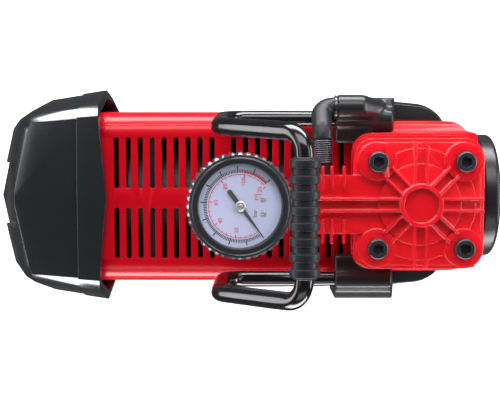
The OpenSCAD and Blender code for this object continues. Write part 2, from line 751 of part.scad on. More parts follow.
module gauge_stem() color([0.78, 0.65, 0.35]) {
    at_gauge() translate([bezel_r - 6, 0, -stem_depth]) rotate([0, 90, 0]) cylinder(r = stem_r, h = 11);
    x_rod(gauge_x + bezel_r + 3, neck_x0 - gauge_x - bezel_r - 3, stem_r + 1, 0, neck_axis_z);
    x_rod(neck_x0 - 1, 9, stem_r - 0.5, 0, neck_axis_z);
}

// ---- handle ----

grip_x = x_cyl - 60.9;
riser_x = grip_x - 38;
leg_y = rail_y - 3.2;
elbow_z = grip_z - 41.5;
tube_end = clamp_x0 + 27;
function side_points(s) = [[tube_end, s * rail_y, rail_z], [riser_x, s * rail_y, rail_z],
    [riser_x, s * leg_y, elbow_z], [grip_x, s * (leg_y - 2), grip_z]];
handle_path = rounded_path(concat(side_points(1), [for (i = [3:-1:0]) side_points(-1)[i]]),
    [13, 12, 11, 11, 12, 13], 7);

module handle_tube() color([0.06, 0.06, 0.07]) swept_tube(handle_path, tube_r, 24, [0, 0, 1]);

module handle_grip() color([0.24, 0.26, 0.3]) translate([grip_x, -grip_l / 2, grip_z]) rotate([-90, 0, 0])
    difference() {
        union() {
            cylinder(r = grip_d / 2 - 1.85, h = grip_l);
            for (i = [0:6]) translate([0, 0, 1 + i * (grip_l - 5) / 6]) cylinder(r = grip_d / 2, h = 2.9);
        }
        translate([0, 0, -1]) cylinder(r = tube_r, h = grip_l + 2);
    }

// ---- clamps and base ----

module clamp_section() polygon([[29.4, housing_top - 16], [29.4, rail_z + 3], [31, rail_z + 4.2],
    [rail_y - 6, rail_z + 4.6], [rail_y - 3.5, rail_z + 6.8], [rail_y, rail_z + 7.6], [rail_y + 3.5, rail_z + 6.8],
    [rail_y + 6.2, rail_z + 1.5], [housing_w / 2 + 7.4, rail_z - 0.5], [housing_w / 2 + 8, 50], [housing_w / 2 + 8, base_top],
    [40, base_top]]);

module clamp_body() difference() {
    intersection() {
        along_x(clamp_x0, 40) clamp_section();
        translate([0, 60, 0]) rotate([90, 0, 0]) linear_extrude(60) polygon([[clamp_x0, base_top],
            [clamp_x0, rail_z + 10], [clamp_x0 + 29.5, rail_z + 10], [clamp_x0 + 36, base_top]]);
    }
    along_x(clamp_x0 - 1, 42) housing_section(0);
    case_block(fit_gap);
    x_rod(x_split, 40, chamber_r + chamber_wall + fit_gap, 0, chamber_z);
    x_rod(clamp_x0 - 1, tube_end - clamp_x0 + 1, tube_r, rail_y, rail_z);
    clamp_screw_places() translate([0, 0, -0.01]) cylinder(r = 3.2, h = 10);
}

module clamp_screw_places() for (x = [8, 23]) translate([clamp_x0 + x, housing_w / 2 + 5.5, rail_z - 25])
    rotate([-90, 0, 0]) children();

module hose_hood() difference() {
    hull() {
        x_rod(clamp_x0, 14, hose_r + 1.2, port_y, port_z);
        x_rod(clamp_x0, 26, 4.5, rail_y + 4.2, rail_z);
        x_rod(clamp_x0, 26, 3, housing_w / 2 + 3, rail_z - 8);
    }
    x_rod(clamp_x0 - 1, tube_end - clamp_x0 + 1, tube_r, rail_y, rail_z);
}

module left_clamp() color(black) difference() {
    union() {
        clamp_body();
        hose_hood();
    }
    x_rod(clamp_x0 - 1, 6, hose_r, port_y, port_z);
}

module right_clamp() color(black) mirror([0, 1, 0]) clamp_body();

module clamp_screws() color(steel) mirrored() clamp_screw_places() difference() {
    cylinder(r = 2.8, h = 2.4);
    translate([0, 0, 1.2]) cylinder(r = 1.5, h = 2, $fn = 6);
}

module base_level(inset, z) translate([0, 0, z]) linear_extrude(eps) {
    arc_x = base_x0 + base_l - base_arc_r;
    arc_y = base_half - 3.8 - base_arc_r;
    side = [for (a = [90:-10:0]) [arc_x + (base_arc_r - inset) * cos(a), arc_y + (base_arc_r - inset) * sin(a)]];
    polygon(concat([[base_x0, base_half - inset]], side,
        [for (i = [len(side) - 1:-1:0]) [side[i][0], -side[i][1]]], [[base_x0, -base_half + inset]]));
}

module front_base() color(black) difference() {
    hull() {
        base_level(6, foot_h);
        base_level(1.5, foot_h + 14);
        base_level(0, base_top - 7);
        base_level(1.6, base_top - eps);
    }
    along_x(base_x0 - 1, 11.1) housing_section(0);
    x_rod(x_split, base_l + 20, chamber_r + chamber_wall, 0, chamber_z);
    x_rod(x_split + 20, base_l, coupler_r, outlet_y, outlet_z);
}

module rubber_feet() color([0.07, 0.07, 0.07]) {
    for (x = [x_tail + 40, base_x0 + base_l - 20], y = [-foot_y, foot_y])
        translate([x, y, 0]) cylinder(r = 7.5, h = foot_h);
}

module outlet_coupler() color([0.78, 0.65, 0.35]) difference() {
    union() {
        x_rod(base_x0 + base_l - 12, outlet_x1 - base_x0 - base_l + 12, coupler_r, outlet_y, outlet_z);
        x_rod(base_x0 + base_l, 1.6, coupler_r + 2.4, outlet_y, outlet_z);
    }
    x_rod(outlet_x1 - 14, 15, coupler_bore_r, outlet_y, outlet_z);
    x_rod(base_x0 + base_l - 13, 40, 1.5, outlet_y, outlet_z);
}

module coupler_sleeve() color(steel) difference() {
    x_rod(outlet_x1 - 10, 8.5, coupler_r + 2.2, outlet_y, outlet_z, coupler_r + run_gap);
    for (x = [2, 4, 6]) translate([outlet_x1 - 10 + x, outlet_y, outlet_z]) rotate([0, 90, 0]) difference() {
        cylinder(r = coupler_r + 3, h = 0.8);
        translate([0, 0, -1]) cylinder(r = coupler_r + 1.7, h = 3);
    }
}

housing_shell();
rear_cover();
rear_collar();
cap_screws();
rocker_switch();
switch_body();
power_gland();
motor_can();
magnets();
armature();
windings();
commutator();
motor_shaft();
rear_bearing();
front_bearing();
cooling_fan();
brush_holder();
brushes();
end_bell();
motor_cradles();
crankcase();
cylinder_barrel();
front_cover();
cover_screws();
crank_disc();
crank_pin();
connecting_rod();
wrist_pin();
piston();
piston_seal();
cylinder_sleeve();
head_gasket();
valve_plate();
reed_valves();
cylinder_head();
head_screws();
hose_fitting();
spring_guard();
air_hose();
hose_port();
gauge_case();
gauge_knurl();
gauge_bezel();
gauge_dial();
gauge_lens();
gauge_needle();
needle_hub();
dial_screws();
bourdon_tube();
gauge_stem();
handle_tube();
handle_grip();
left_clamp();
right_clamp();
clamp_screws();
front_base();
rubber_feet();
outlet_coupler();
coupler_sleeve();
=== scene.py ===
"""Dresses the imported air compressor: softened castings, a printed gauge, rubber, paint, light and camera.

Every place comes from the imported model's own boxes. Lengths are in metres.
"""

from __future__ import annotations

import json
import logging
import math
from dataclasses import dataclass, field
from enum import Enum
from typing import Optional, Sequence, Union

import bpy
from mathutils import Matrix, Vector


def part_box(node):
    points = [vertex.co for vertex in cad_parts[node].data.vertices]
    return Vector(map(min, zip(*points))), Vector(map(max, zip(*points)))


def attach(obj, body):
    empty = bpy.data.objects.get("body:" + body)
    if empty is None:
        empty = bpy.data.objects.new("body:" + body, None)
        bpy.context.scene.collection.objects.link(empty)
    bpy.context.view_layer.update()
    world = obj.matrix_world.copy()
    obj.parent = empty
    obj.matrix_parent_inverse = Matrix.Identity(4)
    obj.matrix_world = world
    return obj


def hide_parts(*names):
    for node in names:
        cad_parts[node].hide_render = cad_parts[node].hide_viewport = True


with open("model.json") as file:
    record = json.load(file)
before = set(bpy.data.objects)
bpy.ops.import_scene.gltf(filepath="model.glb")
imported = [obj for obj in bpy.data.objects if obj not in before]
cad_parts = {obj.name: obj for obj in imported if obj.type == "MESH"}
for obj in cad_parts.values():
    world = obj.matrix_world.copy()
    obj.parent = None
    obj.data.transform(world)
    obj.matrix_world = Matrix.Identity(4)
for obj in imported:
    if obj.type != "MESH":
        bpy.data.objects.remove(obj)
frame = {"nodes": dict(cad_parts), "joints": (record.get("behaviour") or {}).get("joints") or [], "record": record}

LOG = logging.getLogger("compressor")
MM = 0.001
Colour = tuple[float, float, float]
Number = Union[int, float]


# ---------------------------------------------------------------- shader graph


@dataclass(frozen=True)
class Sock:
    """One output socket of a shader graph, with arithmetic that adds Math nodes."""

    graph: "Graph"
    out: bpy.types.NodeSocket

    def _math(self, operation: str, *values: Union["Sock", Number]) -> "Sock":
        """Adds a Math node and returns its output."""
        return self.graph.node("ShaderNodeMath", {"operation": operation}, *values)

    def __add__(self, other: Union["Sock", Number]) -> "Sock":
        """self + other."""
        return self._math("ADD", self, other)

    def __mul__(self, other: Union["Sock", Number]) -> "Sock":
        """self * other."""
        return self._math("MULTIPLY", self, other)

    __radd__ = __add__
    __rmul__ = __mul__

    def clamped(self, low: Number, high: Number) -> "Sock":
        """The value carried from 0..1 to low..high and held there."""
        return self.graph.node("ShaderNodeMapRange", {"clamp": True}, self, 0.0, 1.0, low, high)


class Graph:
    """A material's node tree, with one method that adds any node."""

    def __init__(self, material: bpy.types.Material) -> None:
        """Empties a material's tree and keeps it.

        Args:
            material: the material.
        """
        material.use_nodes = True
        self.tree = material.node_tree
        self.tree.nodes.clear()

    def node(
        self,
        kind: str,
        settings: Optional[dict] = None,
        *values: Union[Sock, Number, Sequence[float]],
        pick: Union[int, str] = 0,
        **named: Union[Sock, Number, Sequence[float]],
    ) -> Sock:
        """Adds a node.

        Args:
            kind: the node's type.
            settings: the node's own settings, set first.
            values: values or links for its first sockets, in order.
            pick: which output to return.
            named: values or links for sockets by name, with _ for a space.

        Returns:
            The chosen output.
        """
        made = self.tree.nodes.new(kind)
        for key, value in (settings or {}).items():
            setattr(made, key, value)
        for place, value in enumerate(values):
            self._feed(made.inputs[place], value)
        for key, value in named.items():
            self._feed(made.inputs[key.replace("_", " ")], value)
        return Sock(self, made.outputs[pick]) if made.outputs else Sock(self, None)

    def _feed(self, socket: bpy.types.NodeSocket, value: object) -> None:
        """Links or sets one input."""
        if isinstance(value, Sock):
            self.tree.links.new(value.out, socket)
        elif isinstance(value, (int, float)):
            socket.default_value = value
        else:
            wide = len(socket.default_value)
            socket.default_value = (*value, 1.0)[:wide] if len(value) < wide else value

    def place(self, scale: Sequence[float] = (1, 1, 1), turn: Sequence[float] = (0, 0, 0)) -> Sock:
        """Object coordinates, scaled and turned."""
        coords = self.node("ShaderNodeTexCoord", pick="Object")
        return self.node("ShaderNodeMapping", None, coords, Rotation=turn, Scale=scale)

    def noise(self, scale: float, detail: float = 2.0, stretch: Sequence[float] = (1, 1, 1)) -> Sock:
        """Cloudy noise of about 0..1, with scale in cycles a metre."""
        return self.node("ShaderNodeTexNoise", None, self.place(stretch), Scale=scale, Detail=detail)

    def mix(self, share: Union[Sock, Number], a: object, b: object) -> Sock:
        """Mixes two colours.

        Args:
            share: 0 for all of a, 1 for all of b.
            a: the first colour.
            b: the second colour.

        Returns:
            The mixed colour.
        """
        mixed = self.node("ShaderNodeMix", {"data_type": "RGBA"}, pick="Result")
        node = mixed.out.node
        self._feed(node.inputs[0], share)
        self._feed(node.inputs[6], a)
        self._feed(node.inputs[7], b)
        return Sock(self, node.outputs[2])

    def bump(self, height: Sock, depth_mm: float, normal: Optional[Sock] = None) -> Sock:
        """A normal bent by a height.

        Args:
            height: the height, about 0..1.
            depth_mm: how deep a height of 1 is.
            normal: the normal that is bent; the surface's own where it is missing.

        Returns:
            The bent normal.
        """
        extra = {"Normal": normal} if normal else {}
        depth = depth_mm * MM
        return self.node("ShaderNodeBump", None, Strength=1.0, Distance=depth, Height=height, **extra)

    def softened(self, radius_mm: float) -> Sock:
        """A normal that rounds the edges of a piece over a small radius."""
        return self.node("ShaderNodeBevel", {"samples": 4}, radius_mm * MM)

    def surface(self, **sockets: object) -> None:
        """Ends the tree in a Principled surface."""
        shader = self.node("ShaderNodeBsdfPrincipled", None, **sockets)
        self.node("ShaderNodeOutputMaterial", None, shader)


# ---------------------------------------------------------------- finishes


@dataclass(frozen=True)
class Finish:
    """A plain finish: colour, gloss, grain and softened edges. Other finishes build on it."""

    name: str
    colour: Colour
    roughness: float = 0.4
    metallic: float = 0.0
    coat: float = 0.0
    shine: float = 0.5
    grain_scale: float = 1500.0
    grain_mm: float = 0.02
    spread: float = 0.12
    edge_mm: float = 0.35

    def base(self, graph: Graph) -> Sock:
        """The colour, a little lighter and darker from place to place.

        Args:
            graph: the material's tree.

        Returns:
            The colour.
        """
        cloud = graph.noise(60.0, 4.0)
        low = [c * (1 - self.spread) for c in self.colour]
        high = [min(1.0, c * (1 + self.spread)) for c in self.colour]
        return graph.mix(cloud, low, high)

    def relief(self, graph: Graph) -> Sock:
        """The normal: rounded edges and a fine grain."""
        return graph.bump(graph.noise(self.grain_scale), self.grain_mm, graph.softened(self.edge_mm))

    def gloss(self, graph: Graph) -> Sock:
        """The roughness, which wanders a little."""
        wander = graph.noise(140.0, 3.0)
        return wander.clamped(self.roughness * 0.85, self.roughness * 1.15)

    def material(self) -> bpy.types.Material:
        """Returns the finish as a material, made once."""
        name = self.name + "_finish"
        known = bpy.data.materials.get(name)
        if known:
            return known
        made = bpy.data.materials.new(name)
        graph = Graph(made)
        graph.surface(
            Base_Color=self.base(graph),
            Roughness=self.gloss(graph),
            Normal=self.relief(graph),
            Metallic=self.metallic,
            Specular_IOR_Level=self.shine,
            Coat_Weight=self.coat,
            Coat_Roughness=0.05,
        )
        made.diffuse_color = (*self.colour, 1.0)
        return made


@dataclass(frozen=True)
class CastPaint(Finish):
    """Gloss paint over a die casting: a slow orange-peel wave."""

    def relief(self, graph: Graph) -> Sock:
        """The normal: rounded edges, then a soft wave under the gloss."""
        wave = graph.noise(330.0, 2.0)
        return graph.bump(wave, self.grain_mm, graph.softened(self.edge_mm))


@dataclass(frozen=True)
class RibbedRubber(Finish):
    """Rubber hose with fine woven ridges."""

    ridges: float = 1100.0

    def relief(self, graph: Graph) -> Sock:
        """The normal: crossed ridges and a fine grain."""
        one = self._ridge(graph, math.radians(45))
        two = self._ridge(graph, math.radians(-45))
        return graph.bump(one * two + graph.noise(self.grain_scale) * 0.3, self.grain_mm)

    def _ridge(self, graph: Graph, turn: float) -> Sock:
        """Sine ridges across a turned axis, 0..1."""
        place = graph.place((1, 1, 1), (turn, 0, turn))
        return graph.node("ShaderNodeTexWave", None, place, Scale=self.ridges / 6.28)


@dataclass(frozen=True)
class BrushedMetal(Finish):
    """Bare metal drawn along X."""

    def relief(self, graph: Graph) -> Sock:
        """The normal: rounded edges and long fine scratches."""
        lines = graph.noise(self.grain_scale, 3.0, (0.06, 1, 1))
        return graph.bump(lines, self.grain_mm, graph.softened(self.edge_mm))


@dataclass(frozen=True)
class ClearPane(Finish):
    """A thin clear pane that is seen by its shine alone."""

    alpha: float = 0.06

    def material(self) -> bpy.types.Material:
        """Returns the pane's material."""
        made = bpy.data.materials.new(self.name + "_finish")
        graph = Graph(made)
        smear = graph.noise(40.0, 2.0).clamped(self.alpha * 0.8, self.alpha * 1.2)
        graph.surface(
            Base_Color=self.base(graph), Roughness=self.roughness, Alpha=smear, Coat_Weight=self.coat
        )
        return made


RED_PAINT = CastPaint(
    "red_gloss_paint", (0.57, 0.003, 0.010), 0.2, coat=1.0, shine=0.3, grain_mm=0.05, edge_mm=0.5
)
RED_CASE = CastPaint(
    "red_case_paint", (0.58, 0.002, 0.008), 0.36, coat=0.15, shine=0.1, grain_mm=0.03, spread=0.05
)
# Same red paint as RED_PAINT with a darker colour: painted shade for the housing, which sits lower and under the
# handle and gauge.
RED_SHELL_PAINTED_SHADE = CastPaint(
    "red_shell_paint", (0.36, 0.0, 0.006), 0.34, coat=0.22, shine=0.12, grain_mm=0.02, spread=0.04
)
BLACK_MOULDED = Finish(
    "black_moulded", (0.006, 0.007, 0.009), 0.21, shine=0.85, grain_scale=2600, grain_mm=0.005
)
BLACK_SATIN = Finish(
    "black_satin", (0.009, 0.010, 0.012), 0.3, shine=0.3, grain_scale=2600, grain_mm=0.006
)
BLACK_ENAMEL = CastPaint(
    "black_enamel", (0.004, 0.004, 0.005), 0.14, coat=0.0, shine=0.45, grain_mm=0.02
)
GRIP_RUBBER = Finish(
    "grip_rubber", (0.010, 0.011, 0.014), 0.42, shine=0.16, grain_scale=1800, grain_mm=0.03
)
HOSE_RUBBER = RibbedRubber("hose_rubber", (0.009, 0.010, 0.013), 0.4, shine=0.22, grain_mm=0.05)
SOFT_RUBBER = Finish("soft_rubber", (0.02, 0.02, 0.022), 0.65, grain_mm=0.03)
SWITCH_RED = Finish("switch_red", (0.65, 0.005, 0.015), 0.2, coat=0.5, grain_mm=0.004)
OXIDE_STEEL = Finish(
    "oxide_steel", (0.05, 0.052, 0.06), 0.32, metallic=0.8, grain_mm=0.01, edge_mm=0.25
)
ZINC_STEEL = BrushedMetal("zinc_steel", (0.58, 0.59, 0.61), 0.3, metallic=1.0, grain_mm=0.01)
SPRING_STEEL = Finish("spring_steel", (0.06, 0.065, 0.08), 0.25, metallic=0.8, grain_mm=0.005)
BRASS = BrushedMetal("brass", (0.72, 0.50, 0.22), 0.28, metallic=1.0, grain_mm=0.01)
COPPER = BrushedMetal("copper", (0.70, 0.32, 0.16), 0.35, metallic=1.0, grain_mm=0.05)
CAST_ALUMINIUM = Finish("cast_aluminium", (0.62, 0.63, 0.65), 0.42, metallic=1.0, grain_mm=0.03)
DARK_IRON = Finish("dark_iron", (0.03, 0.03, 0.033), 0.5, metallic=0.3, grain_mm=0.03)
CARBON = Finish("carbon", (0.03, 0.03, 0.03), 0.7, grain_mm=0.03)
GAUGE_GREY = Finish(
    "gauge_grey", (0.10, 0.10, 0.115), 0.24, metallic=0.7, coat=0.6, grain_mm=0.004, edge_mm=0.1
)
BEZEL_BLACK = Finish("bezel_black", (0.012, 0.013, 0.016), 0.32, shine=0.4, grain_mm=0.006)
DIAL_WHITE = Finish(
    "dial_white", (0.40, 0.43, 0.62), 0.5, shine=0.2, grain_mm=0.004, spread=0.02, edge_mm=0.05
)
PRINT_BLACK = Finish(
    "print_black", (0.003, 0.003, 0.004), 0.7, shine=0.15, grain_mm=0.002, edge_mm=0.02
)
PRINT_RED = Finish("print_red", (0.60, 0.004, 0.010), 0.6, shine=0.15, grain_mm=0.002, edge_mm=0.02)
CLEAR_PANE = ClearPane("clear_pane", (0.95, 0.97, 1.0), 0.03, alpha=0.03, coat=0.3)


# ---------------------------------------------------------------- modelling helpers


class Body(Enum):
    """The moving bodies that new pieces ride on."""

    CASING = "casing"
    NEEDLE = "needle"


def clear_selection() -> None:
    """Deselects everything, in object mode."""
    if bpy.context.object and bpy.context.object.mode != "OBJECT":
        bpy.ops.object.mode_set(mode="OBJECT")
    bpy.ops.object.select_all(action="DESELECT")


def take(obj: bpy.types.Object) -> None:
    """Makes a piece the only selected and the active object.

    Args:
        obj: the piece.
    """
    clear_selection()
    obj.select_set(True)
    bpy.context.view_layer.objects.active = obj


def apply_all(obj: bpy.types.Object) -> None:
    """Applies obj's modifiers in order."""
    take(obj)
    for modifier in list(obj.modifiers):
        bpy.ops.object.modifier_apply(modifier=modifier.name)


def settle(obj: bpy.types.Object) -> None:
    """Carries obj's place, turn and size into its mesh."""
    take(obj)
    bpy.ops.object.transform_apply(location=True, rotation=True, scale=True)


def smooth(obj: bpy.types.Object, angle: float = 35.0) -> None:
    """Shades obj smooth below an edge angle in degrees."""
    take(obj)
    bpy.ops.object.shade_smooth_by_angle(angle=math.radians(angle))


def joined(name: str, objects: Sequence[bpy.types.Object]) -> bpy.types.Object:
    """Joins meshes into one object.

    Args:
        name: the name of the result.
        objects: the meshes, at least one.

    Returns:
        The joined object.
    """
    take(objects[0])
    for obj in objects[1:]:
        obj.select_set(True)
    bpy.ops.object.join()
    result = bpy.context.object
    result.name = name
    return result


def dressed(obj: bpy.types.Object, finish: Finish) -> bpy.types.Object:
    """Gives a piece one finish.

    Args:
        obj: the piece.
        finish: its finish.

    Returns:
        The same piece.
    """
    obj.data.materials.clear()
    obj.data.materials.append(finish.material())
    return obj


def turned(
    name: str,
    profile: Sequence[tuple[float, float]],
    steps: int = 64,
    closed: bool = False,
    sweep: float = math.tau,
) -> bpy.types.Object:
    """Turns an outline about Z, all the way round or through a part of a turn.

    Args:
        name: the piece's name.
        profile: (radius, height) corners, from one end to the other.
        steps: segments round the axis.
        closed: whether the outline comes back to its start.
        sweep: how far it turns, in radians; the ends of a part turn are closed.

    Returns:
        The turned piece, about the origin.
    """
    clear_selection()
    radius, height = profile[0]
    bpy.ops.mesh.primitive_plane_add(size=MM, location=(0, 0, 0))
    obj = bpy.context.object
    obj.name = name
    bpy.ops.object.mode_set(mode="EDIT")
    bpy.ops.mesh.select_all(action="SELECT")
    bpy.ops.mesh.merge(type="CENTER")
    bpy.ops.transform.translate(value=(radius, 0, height))
    for (r0, z0), (r1, z1) in zip(profile, profile[1:]):
        bpy.ops.mesh.extrude_region_move(TRANSFORM_OT_translate={"value": (r1 - r0, 0, z1 - z0)})
    if closed:
        last = profile[-1]
        bpy.ops.mesh.extrude_region_move(
            TRANSFORM_OT_translate={"value": (radius - last[0], 0, height - last[1])}
        )
    bpy.ops.mesh.select_all(action="SELECT")
    bpy.ops.mesh.spin(steps=steps, angle=sweep, center=(0, 0, 0), axis=(0, 0, 1))
    bpy.ops.mesh.select_all(action="SELECT")
    bpy.ops.mesh.remove_doubles(threshold=1e-6)
    bpy.ops.mesh.dissolve_degenerate(threshold=1e-6)
    if sweep < math.tau:
        bpy.ops.mesh.fill_holes(sides=len(profile))
    bpy.ops.mesh.normals_make_consistent(inside=False)
    bpy.ops.object.mode_set(mode="OBJECT")
    return obj


def rounded_corner(r: float, z: float, radius: float, start: float, end: float, steps: int = 5) -> list:
    """Outline points round an arc.

    Args:
        r: distance of the arc's centre from the axis.
        z: height of the arc's centre.
        radius: the arc's radius.
        start: the angle of its first point, in degrees.
        end: the angle of its last point, in degrees.
        steps: how many stretches it has.

    Returns:
        (radius, height) corners.
    """
    span = [math.radians(start + (end - start) * i / steps) for i in range(steps + 1)]
    return [(r + radius * math.cos(a), z + radius * math.sin(a)) for a in span]


def stand(obj: bpy.types.Object, place: Matrix) -> bpy.types.Object:
    """Moves a piece made about the origin to its place.

    Args:
        obj: the piece.
        place: where it goes.

    Returns:
        The same piece, with its place applied.
    """
    obj.matrix_world = place
    settle(obj)
    return obj


def seat_along_y(node: str) -> Matrix:
    """Where a piece made about the origin stands when it stands for a round node along Y.

    Args:
        node: the CAD node.

    Returns:
        The place: it starts at the node's near end, and its Z runs along +Y.
    """
    low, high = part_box(node)
    middle = (low + high) / 2
    return Matrix.Translation((middle.x, low.y, middle.z)) @ Matrix.Rotation(-math.pi / 2, 4, "X")


def copied(node: str, name: str) -> bpy.types.Object:
    """Copies a CAD node's mesh and merges it into one skin.

    Args:
        node: the CAD node.
        name: the copy's name.

    Returns:
        The copy; the node itself stays as it is.
    """
    clear_selection()
    source = frame["nodes"][node]
    obj = bpy.data.objects.new(name, source.data.copy())
    bpy.context.scene.collection.objects.link(obj)
    take(obj)
    bpy.ops.object.mode_set(mode="EDIT")
    bpy.ops.mesh.select_all(action="SELECT")
    bpy.ops.mesh.remove_doubles(threshold=2e-6)
    bpy.ops.mesh.dissolve_limited(angle_limit=math.radians(0.6))
    bpy.ops.object.mode_set(mode="OBJECT")
    return obj


def finer_copy(node: str) -> bpy.types.Object:
    """A smoother copy of a bent round node.

    Args:
        node: the CAD node.

    Returns:
        The piece, which stands for the node.
    """
    obj = copied(node, node + "_skin")
    finer = obj.modifiers.new("finer", "SUBSURF")
    finer.levels = finer.render_levels = 1
    apply_all(obj)
    smooth(obj, 60)
    return obj


def softened_copy(node: str, width_mm: float, segments: int = 2, angle: float = 32.0) -> bpy.types.Object:
    """A copy of a CAD node whose sharp edges are rounded.

    Args:
        node: the CAD node.
        width_mm: how far the rounding reaches from an edge.
        segments: faces across each rounding.
        angle: edges sharper than this are rounded.

    Returns:
        The piece, which stands for the node.
    """
    obj = copied(node, node + "_skin")
    bevel = obj.modifiers.new("rounding", "BEVEL")
    bevel.width = width_mm * MM
    bevel.segments = segments
    bevel.limit_method = "ANGLE"
    bevel.angle_limit = math.radians(angle)
    bevel.use_clamp_overlap = True
    bevel.harden_normals = False
    apply_all(obj)
    smooth(obj, 40.0)
    return obj


def melted_copy(node: str, grid_mm: float, rounds: int) -> bpy.types.Object:
    """A copy of a CAD node with all its edges flowing into one another, as on a soft moulding.

    Args:
        node: the CAD node.
        grid_mm: side of the cells of its new skin.
        rounds: how often the skin is smoothed.

    Returns:
        The piece, which stands for the node.
    """
    obj = copied(node, node + "_skin")
    skin = obj.modifiers.new("skin", "REMESH")
    skin.mode = "VOXEL"
    skin.voxel_size = grid_mm * MM
    flow = obj.modifiers.new("flow", "SMOOTH")
    flow.factor = 0.5
    flow.iterations = rounds
    apply_all(obj)
    smooth(obj, 60.0)
    return obj


@dataclass
class Built:
    """What has been built so far, for the log."""

    names: list[str] = field(default_factory=list)

    def add(
        self, obj: bpy.types.Object, finish: Finish, body: Body, slot: str, *nodes: str
    ) -> bpy.types.Object:
        """Dresses a finished piece and parents it to its body.

        Args:
            obj: the piece.
            finish: its finish.
            body: the CAD body that it rides on.
            slot: the record's slot for the piece; not used.
            nodes: the CAD nodes that it stands for.

        Returns:
            The piece.
        """
        dressed(obj, finish)
        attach(obj, body.value)
        if nodes:
            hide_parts(*nodes)
        self.names.append(obj.name)
        LOG.info("piece %s on %s", obj.name, body.value)
        return obj


# ---------------------------------------------------------------- sub-assemblies


@dataclass
class Casings:
    """The moulded and cast shells."""

    built: Built
    shell_edge_mm: float = 0.5
    cap_edge_mm: float = 1.6
    pod_grid_mm: float = 0.75
    pod_rounds: int = 16
    cast_edge_mm: float = 0.7

    def build(self) -> None:
        """Builds each shell as a softened copy of its solid."""
        rows: list[tuple[str, float, int, Finish, str]] = [
            ("rear_cover", self.cap_edge_mm, 3, BLACK_MOULDED, "black_plastic"),
            ("rear_collar", self.cap_edge_mm, 3, BLACK_MOULDED, "black_plastic"),
            ("front_base", self.cap_edge_mm, 3, BLACK_MOULDED, "black_plastic"),
            ("front_cover", 0.6, 2, BLACK_SATIN, "black_plastic"),
            ("crankcase", self.cast_edge_mm, 2, RED_CASE, "red_paint"),
            ("cylinder_head", 0.45, 2, RED_PAINT, "red_paint"),
            # housing_shell takes the darkened red: painted shade.
            ("housing_shell", self.shell_edge_mm, 2, RED_SHELL_PAINTED_SHADE, "red_paint"),
        ]
        for node, width, segments, finish, slot in rows:
            piece = softened_copy(node, width, segments)
            self.built.add(piece, finish, Body.CASING, slot, node)
        for node in ("left_clamp", "right_clamp"):
            pod = melted_copy(node, self.pod_grid_mm, self.pod_rounds)
            self.built.add(pod, BLACK_SATIN, Body.CASING, "black_plastic", node)


@dataclass
class Fasteners:
    """Cap screws in the head."""

    built: Built
    head_r: float = 5.0 * MM
    head_h: float = 5.0 * MM
    hex_r: float = 3.05 * MM
    rim_r: float = 0.7 * MM

    def cap_screw(self) -> bpy.types.Object:
        """One socket cap screw's head, standing on the origin.

        Returns:
            The head.
        """
        r, h, rim = self.head_r, self.head_h, self.rim_r
        profile = [(0, h * 0.98), (r - 0.5 * MM, h), *rounded_corner(r - rim, h - rim, rim, 80, 0, 3)]
        profile += [(r, 0.2 * MM), (r - 0.2 * MM, 0), (0, 0)]
        body = turned("cap_screw", profile, 40)
        clear_selection()
        socket_z = h * 0.85
        bpy.ops.mesh.primitive_cylinder_add(
            vertices=6, radius=self.hex_r, depth=h, location=(0, 0, socket_z)
        )
        socket = bpy.context.object
        cut = body.modifiers.new("socket", "BOOLEAN")
        cut.object = socket
        cut.operation = "DIFFERENCE"
        apply_all(body)
        bpy.data.objects.remove(socket)
        smooth(body, 35)
        return body

    def build(self) -> None:
        """Four head screws, each a copy of one."""
        low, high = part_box("head_screws")
        x_mid, y_mid = (low.x + high.x) / 2, (low.y + high.y) / 2
        reach = (high.x - low.x) / 2 - self.head_r
        first = self.cap_screw()
        copies = []
        for x in (-reach, reach):
            for y in (-reach, reach):
                one = first.copy()
                one.data = first.data.copy()
                bpy.context.scene.collection.objects.link(one)
                stand(one, Matrix.Translation((x_mid + x, y_mid + y, high.z - self.head_h)))
                copies.append(one)
        bpy.data.objects.remove(first)
        screws = joined("head_cap_screws", copies)
        self.built.add(screws, OXIDE_STEEL, Body.CASING, "black_oxide", "head_screws")


@dataclass
class Handle:
    """The bent tube and its rubber grip."""

    built: Built
    collars: int = 8
    collar_w: float = 4.2 * MM
    collar_round: float = 0.5 * MM
    end_gap: float = 0.8 * MM
    wall_in_cad: float = 3.6 * MM
    wall: float = 2.4 * MM
    groove: float = 1.0 * MM

    def grip(self) -> bpy.types.Object:
        """The grip: a core with soft collars.

        Returns:
            The grip, in its place.
        """
        low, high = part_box("handle_grip")
        length = high.y - low.y
        tube = (high.z - low.z) / 2 - self.wall_in_cad
        outer = tube + self.wall
        core = outer - self.groove
        soft = self.collar_round
        pitch = (length - self.collar_w - 2 * self.end_gap) / (self.collars - 1)
        profile = [(tube, 0), (core - 0.5 * MM, 0), (core, 0.5 * MM)]
        for i in range(self.collars):
            near = self.end_gap + i * pitch
            far = near + self.collar_w
            profile += [(core, near), (core + 0.4 * MM, near + 0.15 * MM)]
            profile += rounded_corner(outer - soft, near + soft + 0.2 * MM, soft, -80, 0, 3)
            profile += rounded_corner(outer - soft, far - soft - 0.2 * MM, soft, 0, 80, 3)
            profile += [(core + 0.4 * MM, far - 0.15 * MM), (core, far)]
        profile += [(core, length - 0.5 * MM), (core - 0.5 * MM, length), (tube, length)]
        obj = turned("handle_grip_skin", profile, 56)
        stand(obj, seat_along_y("handle_grip"))
        smooth(obj, 50)
        return obj

    def build(self) -> None:
        """Builds the tube and the grip."""
        tube = finer_copy("handle_tube")
        self.built.add(tube, BLACK_ENAMEL, Body.CASING, "black_enamel", "handle_tube")
        self.built.add(self.grip(), GRIP_RUBBER, Body.CASING, "grip_rubber", "handle_grip")


